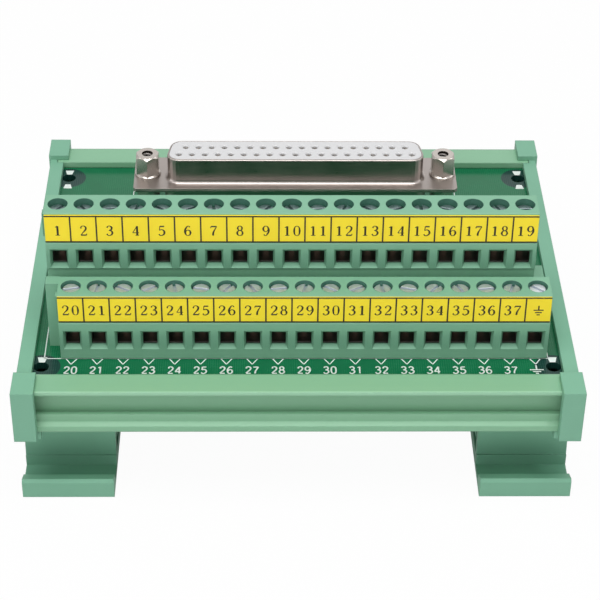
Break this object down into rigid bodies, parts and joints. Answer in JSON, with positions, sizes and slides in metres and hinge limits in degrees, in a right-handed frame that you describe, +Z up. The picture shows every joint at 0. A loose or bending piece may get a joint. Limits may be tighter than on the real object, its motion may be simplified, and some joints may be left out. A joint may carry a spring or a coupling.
{
  "type": "d-sub terminal block adapter",
  "caption": "Rail-mounted adapter that breaks a D-sub socket out to two levels of numbered screw terminals on a circuit board in a plastic carrier.",
  "frame": {"origin": "on the ground under the middle of the carrier, at the bottom of the rail feet", "axes": "+X along the terminal row to the last terminal, +Y from the terminals towards the D-sub connector, +Z up through the screws"},
  "size_m": [0.111, 0.092, 0.0562],
  "materials": {
    "carrier_green": "moulded and extruded, soft sheen",
    "board_green": "glass-fibre board under glossy solder mask",
    "terminal_green": "fine moulded grain",
    "label_yellow": "printed strip",
    "cage_nickel": "nickel-plated, stamped",
    "pin_tin": "tinned",
    "shell_nickel": "nickel-plated sheet, satin",
    "insulator_white": "smooth moulded",
    "insulator_black": "smooth moulded",
    "contact_gold": "gold flash",
    "post_nickel": "nickel-plated, turned",
    "screw_steel": "zinc-plated"
  },
  "bodies": {
    "base": {"carrier_profile": "carrier_green", "left_foot_plate": "carrier_green", "right_foot_plate": "carrier_green", "circuit_board": "board_green", "terminal_housing": "terminal_green", "upper_label_strip": "label_yellow", "lower_label_strip": "label_yellow", "upper_clamp_cages": "cage_nickel", "lower_clamp_cages": "cage_nickel", "upper_terminal_pins": "pin_tin", "lower_terminal_pins": "pin_tin", "dsub_front_shell": "shell_nickel", "dsub_rear_shell": "shell_nickel", "dsub_front_insulator": "insulator_white", "dsub_rear_insulator": "insulator_black", "dsub_contacts": "contact_gold", "left_jack_post": "post_nickel", "right_jack_post": "post_nickel", "left_standoff": "post_nickel", "right_standoff": "post_nickel"},
    "upper_screw_1_body": {"upper_screw_1": "screw_steel"},
    "upper_screw_2_body": {"upper_screw_2": "screw_steel"},
    "upper_screw_3_body": {"upper_screw_3": "screw_steel"},
    "upper_screw_4_body": {"upper_screw_4": "screw_steel"},
    "upper_screw_5_body": {"upper_screw_5": "screw_steel"},
    "upper_screw_6_body": {"upper_screw_6": "screw_steel"},
    "upper_screw_7_body": {"upper_screw_7": "screw_steel"},
    "upper_screw_8_body": {"upper_screw_8": "screw_steel"},
    "upper_screw_9_body": {"upper_screw_9": "screw_steel"},
    "upper_screw_10_body": {"upper_screw_10": "screw_steel"},
    "upper_screw_11_body": {"upper_screw_11": "screw_steel"},
    "upper_screw_12_body": {"upper_screw_12": "screw_steel"},
    "upper_screw_13_body": {"upper_screw_13": "screw_steel"},
    "upper_screw_14_body": {"upper_screw_14": "screw_steel"},
    "upper_screw_15_body": {"upper_screw_15": "screw_steel"},
    "upper_screw_16_body": {"upper_screw_16": "screw_steel"},
    "upper_screw_17_body": {"upper_screw_17": "screw_steel"},
    "upper_screw_18_body": {"upper_screw_18": "screw_steel"},
    "upper_screw_19_body": {"upper_screw_19": "screw_steel"},
    "lower_screw_1_body": {"lower_screw_1": "screw_steel"},
    "lower_screw_2_body": {"lower_screw_2": "screw_steel"},
    "lower_screw_3_body": {"lower_screw_3": "screw_steel"},
    "lower_screw_4_body": {"lower_screw_4": "screw_steel"},
    "lower_screw_5_body": {"lower_screw_5": "screw_steel"},
    "lower_screw_6_body": {"lower_screw_6": "screw_steel"},
    "lower_screw_7_body": {"lower_screw_7": "screw_steel"},
    "lower_screw_8_body": {"lower_screw_8": "screw_steel"},
    "lower_screw_9_body": {"lower_screw_9": "screw_steel"},
    "lower_screw_10_body": {"lower_screw_10": "screw_steel"},
    "lower_screw_11_body": {"lower_screw_11": "screw_steel"},
    "lower_screw_12_body": {"lower_screw_12": "screw_steel"},
    "lower_screw_13_body": {"lower_screw_13": "screw_steel"},
    "lower_screw_14_body": {"lower_screw_14": "screw_steel"},
    "lower_screw_15_body": {"lower_screw_15": "screw_steel"},
    "lower_screw_16_body": {"lower_screw_16": "screw_steel"},
    "lower_screw_17_body": {"lower_screw_17": "screw_steel"},
    "lower_screw_18_body": {"lower_screw_18": "screw_steel"},
    "lower_screw_19_body": {"lower_screw_19": "screw_steel"}
  },
  "joints": [
    {"name": "upper_screw_1_turn", "type": "hinge", "parent": "base", "child": "upper_screw_1_body", "pos_m": [-0.04699, -0.0188, 0.05495], "axis": [0, 0, -1], "range_deg": [0, 1890]},
    {"name": "upper_screw_2_turn", "type": "hinge", "parent": "base", "child": "upper_screw_2_body", "pos_m": [-0.04191, -0.0188, 0.05495], "axis": [0, 0, -1], "range_deg": [0, 1890]},
    {"name": "upper_screw_3_turn", "type": "hinge", "parent": "base", "child": "upper_screw_3_body", "pos_m": [-0.03683, -0.0188, 0.05495], "axis": [0, 0, -1], "range_deg": [0, 1890]},
    {"name": "upper_screw_4_turn", "type": "hinge", "parent": "base", "child": "upper_screw_4_body", "pos_m": [-0.03175, -0.0188, 0.05495], "axis": [0, 0, -1], "range_deg": [0, 1890]},
    {"name": "upper_screw_5_turn", "type": "hinge", "parent": "base", "child": "upper_screw_5_body", "pos_m": [-0.02667, -0.0188, 0.05495], "axis": [0, 0, -1], "range_deg": [0, 1890]},
    {"name": "upper_screw_6_turn", "type": "hinge", "parent": "base", "child": "upper_screw_6_body", "pos_m": [-0.02159, -0.0188, 0.05495], "axis": [0, 0, -1], "range_deg": [0, 1890]},
    {"name": "upper_screw_7_turn", "type": "hinge", "parent": "base", "child": "upper_screw_7_body", "pos_m": [-0.01651, -0.0188, 0.05495], "axis": [0, 0, -1], "range_deg": [0, 1890]},
    {"name": "upper_screw_8_turn", "type": "hinge", "parent": "base", "child": "upper_screw_8_body", "pos_m": [-0.01143, -0.0188, 0.05495], "axis": [0, 0, -1], "range_deg": [0, 1890]},
    {"name": "upper_screw_9_turn", "type": "hinge", "parent": "base", "child": "upper_screw_9_body", "pos_m": [-0.00635, -0.0188, 0.05495], "axis": [0, 0, -1], "range_deg": [0, 1890]},
    {"name": "upper_screw_10_turn", "type": "hinge", "parent": "base", "child": "upper_screw_10_body", "pos_m": [-0.00127, -0.0188, 0.05495], "axis": [0, 0, -1], "range_deg": [0, 1890]},
    {"name": "upper_screw_11_turn", "type": "hinge", "parent": "base", "child": "upper_screw_11_body", "pos_m": [0.00381, -0.0188, 0.05495], "axis": [0, 0, -1], "range_deg": [0, 1890]},
    {"name": "upper_screw_12_turn", "type": "hinge", "parent": "base", "child": "upper_screw_12_body", "pos_m": [0.00889, -0.0188, 0.05495], "axis": [0, 0, -1], "range_deg": [0, 1890]},
    {"name": "upper_screw_13_turn", "type": "hinge", "parent": "base", "child": "upper_screw_13_body", "pos_m": [0.01397, -0.0188, 0.05495], "axis": [0, 0, -1], "range_deg": [0, 1890]},
    {"name": "upper_screw_14_turn", "type": "hinge", "parent": "base", "child": "upper_screw_14_body", "pos_m": [0.01905, -0.0188, 0.05495], "axis": [0, 0, -1], "range_deg": [0, 1890]},
    {"name": "upper_screw_15_turn", "type": "hinge", "parent": "base", "child": "upper_screw_15_body", "pos_m": [0.02413, -0.0188, 0.05495], "axis": [0, 0, -1], "range_deg": [0, 1890]},
    {"name": "upper_screw_16_turn", "type": "hinge", "parent": "base", "child": "upper_screw_16_body", "pos_m": [0.02921, -0.0188, 0.05495], "axis": [0, 0, -1], "range_deg": [0, 1890]},
    {"name": "upper_screw_17_turn", "type": "hinge", "parent": "base", "child": "upper_screw_17_body", "pos_m": [0.03429, -0.0188, 0.05495], "axis": [0, 0, -1], "range_deg": [0, 1890]},
    {"name": "upper_screw_18_turn", "type": "hinge", "parent": "base", "child": "upper_screw_18_body", "pos_m": [0.03937, -0.0188, 0.05495], "axis": [0, 0, -1], "range_deg": [0, 1890]},
    {"name": "upper_screw_19_turn", "type": "hinge", "parent": "base", "child": "upper_screw_19_body", "pos_m": [0.04445, -0.0188, 0.05495], "axis": [0, 0, -1], "range_deg": [0, 1890]},
    {"name": "lower_screw_1_turn", "type": "hinge", "parent": "base", "child": "lower_screw_1_body", "pos_m": [-0.04445, -0.0281, 0.04185], "axis": [0, 0, -1], "range_deg": [0, 1890]},
    {"name": "lower_screw_2_turn", "type": "hinge", "parent": "base", "child": "lower_screw_2_body", "pos_m": [-0.03937, -0.0281, 0.04185], "axis": [0, 0, -1], "range_deg": [0, 1890]},
    {"name": "lower_screw_3_turn", "type": "hinge", "parent": "base", "child": "lower_screw_3_body", "pos_m": [-0.03429, -0.0281, 0.04185], "axis": [0, 0, -1], "range_deg": [0, 1890]},
    {"name": "lower_screw_4_turn", "type": "hinge", "parent": "base", "child": "lower_screw_4_body", "pos_m": [-0.02921, -0.0281, 0.04185], "axis": [0, 0, -1], "range_deg": [0, 1890]},
    {"name": "lower_screw_5_turn", "type": "hinge", "parent": "base", "child": "lower_screw_5_body", "pos_m": [-0.02413, -0.0281, 0.04185], "axis": [0, 0, -1], "range_deg": [0, 1890]},
    {"name": "lower_screw_6_turn", "type": "hinge", "parent": "base", "child": "lower_screw_6_body", "pos_m": [-0.01905, -0.0281, 0.04185], "axis": [0, 0, -1], "range_deg": [0, 1890]},
    {"name": "lower_screw_7_turn", "type": "hinge", "parent": "base", "child": "lower_screw_7_body", "pos_m": [-0.01397, -0.0281, 0.04185], "axis": [0, 0, -1], "range_deg": [0, 1890]},
    {"name": "lower_screw_8_turn", "type": "hinge", "parent": "base", "child": "lower_screw_8_body", "pos_m": [-0.00889, -0.0281, 0.04185], "axis": [0, 0, -1], "range_deg": [0, 1890]},
    {"name": "lower_screw_9_turn", "type": "hinge", "parent": "base", "child": "lower_screw_9_body", "pos_m": [-0.00381, -0.0281, 0.04185], "axis": [0, 0, -1], "range_deg": [0, 1890]},
    {"name": "lower_screw_10_turn", "type": "hinge", "parent": "base", "child": "lower_screw_10_body", "pos_m": [0.00127, -0.0281, 0.04185], "axis": [0, 0, -1], "range_deg": [0, 1890]},
    {"name": "lower_screw_11_turn", "type": "hinge", "parent": "base", "child": "lower_screw_11_body", "pos_m": [0.00635, -0.0281, 0.04185], "axis": [0, 0, -1], "range_deg": [0, 1890]},
    {"name": "lower_screw_12_turn", "type": "hinge", "parent": "base", "child": "lower_screw_12_body", "pos_m": [0.01143, -0.0281, 0.04185], "axis": [0, 0, -1], "range_deg": [0, 1890]},
    {"name": "lower_screw_13_turn", "type": "hinge", "parent": "base", "child": "lower_screw_13_body", "pos_m": [0.01651, -0.0281, 0.04185], "axis": [0, 0, -1], "range_deg": [0, 1890]},
    {"name": "lower_screw_14_turn", "type": "hinge", "parent": "base", "child": "lower_screw_14_body", "pos_m": [0.02159, -0.0281, 0.04185], "axis": [0, 0, -1], "range_deg": [0, 1890]},
    {"name": "lower_screw_15_turn", "type": "hinge", "parent": "base", "child": "lower_screw_15_body", "pos_m": [0.02667, -0.0281, 0.04185], "axis": [0, 0, -1], "range_deg": [0, 1890]},
    {"name": "lower_screw_16_turn", "type": "hinge", "parent": "base", "child": "lower_screw_16_body", "pos_m": [0.03175, -0.0281, 0.04185], "axis": [0, 0, -1], "range_deg": [0, 1890]},
    {"name": "lower_screw_17_turn", "type": "hinge", "parent": "base", "child": "lower_screw_17_body", "pos_m": [0.03683, -0.0281, 0.04185], "axis": [0, 0, -1], "range_deg": [0, 1890]},
    {"name": "lower_screw_18_turn", "type": "hinge", "parent": "base", "child": "lower_screw_18_body", "pos_m": [0.04191, -0.0281, 0.04185], "axis": [0, 0, -1], "range_deg": [0, 1890]},
    {"name": "lower_screw_19_turn", "type": "hinge", "parent": "base", "child": "lower_screw_19_body", "pos_m": [0.04699, -0.0281, 0.04185], "axis": [0, 0, -1], "range_deg": [0, 1890]}
  ]
}
